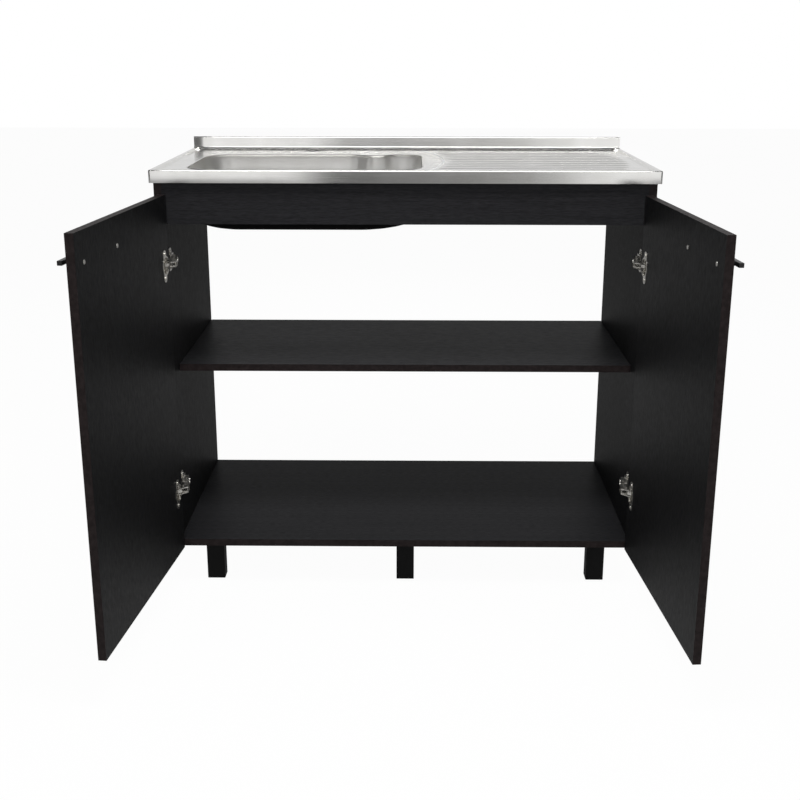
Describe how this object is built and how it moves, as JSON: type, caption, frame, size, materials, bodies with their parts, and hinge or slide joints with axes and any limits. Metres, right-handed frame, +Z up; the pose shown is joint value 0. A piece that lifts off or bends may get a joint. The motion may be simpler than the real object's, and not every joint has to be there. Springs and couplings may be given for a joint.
{
  "type": "kitchen sink unit",
  "caption": "Kitchen sink unit: stainless sink top with left bowl, ribbed drainer and low backsplash on a black two-door cabinet with shelf and short legs",
  "frame": {"origin": "bottom centre of the whole unit's box, with the doors as pictured, on the floor", "axes": "+Z up, -Y towards the user (doors and lip), +X to the right seen from the front"},
  "size_m": [1.0952, 1.004, 0.915],
  "materials": {
    "sink_steel": "satin, pressed sheet",
    "black_board": "black melamine with a fine vertical wood grain",
    "leg_plastic": "matt black",
    "handle_black": "satin black",
    "plated_steel": "nickel plated, stamped",
    "dowel_wood": "plain beech"
  },
  "bodies": {
    "cabinet": {"bottom_panel": "black_board", "front_left_leg": "leg_plastic", "front_middle_leg": "leg_plastic", "front_rail": "black_board", "front_right_leg": "leg_plastic", "left_hinge_arm_pins": "plated_steel", "left_hinge_arm_screws": "plated_steel", "left_hinge_plate_screws": "plated_steel", "left_lower_hinge_arm": "plated_steel", "left_lower_hinge_plate": "plated_steel", "left_panel_screws": "plated_steel", "left_side_panel": "black_board", "left_upper_hinge_arm": "plated_steel", "left_upper_hinge_plate": "plated_steel", "leg_studs": "plated_steel", "panel_dowels": "dowel_wood", "rear_left_leg": "leg_plastic", "rear_middle_leg": "leg_plastic", "rear_rail": "black_board", "rear_right_leg": "leg_plastic", "right_hinge_arm_pins": "plated_steel", "right_hinge_arm_screws": "plated_steel", "right_hinge_plate_screws": "plated_steel", "right_lower_hinge_arm": "plated_steel", "right_lower_hinge_plate": "plated_steel", "right_panel_screws": "plated_steel", "right_side_panel": "black_board", "right_upper_hinge_arm": "plated_steel", "right_upper_hinge_plate": "plated_steel", "shelf": "black_board", "sink_bowl": "sink_steel", "sink_top": "sink_steel"},
    "left_door": {"left_door_panel": "black_board", "left_handle": "handle_black", "left_handle_screws": "plated_steel", "left_hinge_cup_pins": "plated_steel", "left_hinge_flange_screws": "plated_steel", "left_lower_hinge_cup": "plated_steel", "left_upper_hinge_cup": "plated_steel"},
    "left_inner_links": {"left_inner_hinge_links": "plated_steel"},
    "left_outer_links": {"left_outer_hinge_links": "plated_steel"},
    "right_door": {"right_door_panel": "black_board", "right_handle": "handle_black", "right_handle_screws": "plated_steel", "right_hinge_cup_pins": "plated_steel", "right_hinge_flange_screws": "plated_steel", "right_lower_hinge_cup": "plated_steel", "right_upper_hinge_cup": "plated_steel"},
    "right_inner_links": {"right_inner_hinge_links": "plated_steel"},
    "right_outer_links": {"right_outer_hinge_links": "plated_steel"}
  },
  "joints": [
    {"name": "left_door_on_links", "type": "hinge", "parent": "left_outer_links", "child": "left_door", "pos_m": [-0.46652, -0.02673, 0.465], "axis": [0, 0, 1], "range_deg": [0, 152.8]},
    {"name": "left_outer_links_on_arms", "type": "hinge", "parent": "cabinet", "child": "left_outer_links", "pos_m": [-0.45141, -0.01172, 0.465], "axis": [0, 0, 1], "range_deg": [-57.3, 0]},
    {"name": "left_inner_links_on_arms", "type": "hinge", "parent": "cabinet", "child": "left_inner_links", "pos_m": [-0.46171, -0.01472, 0.465], "axis": [0, 0, 1], "range_deg": [-83.56, 0]},
    {"name": "right_door_on_links", "type": "hinge", "parent": "right_outer_links", "child": "right_door", "pos_m": [0.47752, -0.02651, 0.465], "axis": [0, 0, 1], "range_deg": [-150.56, 2.24]},
    {"name": "right_outer_links_on_arms", "type": "hinge", "parent": "cabinet", "child": "right_outer_links", "pos_m": [0.46219, -0.01172, 0.465], "axis": [0, 0, 1], "range_deg": [-0.84, 56.46]},
    {"name": "right_inner_links_on_arms", "type": "hinge", "parent": "cabinet", "child": "right_inner_links", "pos_m": [0.47249, -0.01472, 0.465], "axis": [0, 0, 1], "range_deg": [-1.23, 82.34]}
  ],
  "couplings": [
    {"joint": "left_outer_links_on_arms", "follows": "left_door_on_links", "ratio": -0.375},
    {"joint": "left_inner_links_on_arms", "follows": "left_door_on_links", "ratio": -0.54688},
    {"joint": "right_outer_links_on_arms", "follows": "right_door_on_links", "ratio": -0.375},
    {"joint": "right_inner_links_on_arms", "follows": "right_door_on_links", "ratio": -0.54688}
  ]
}
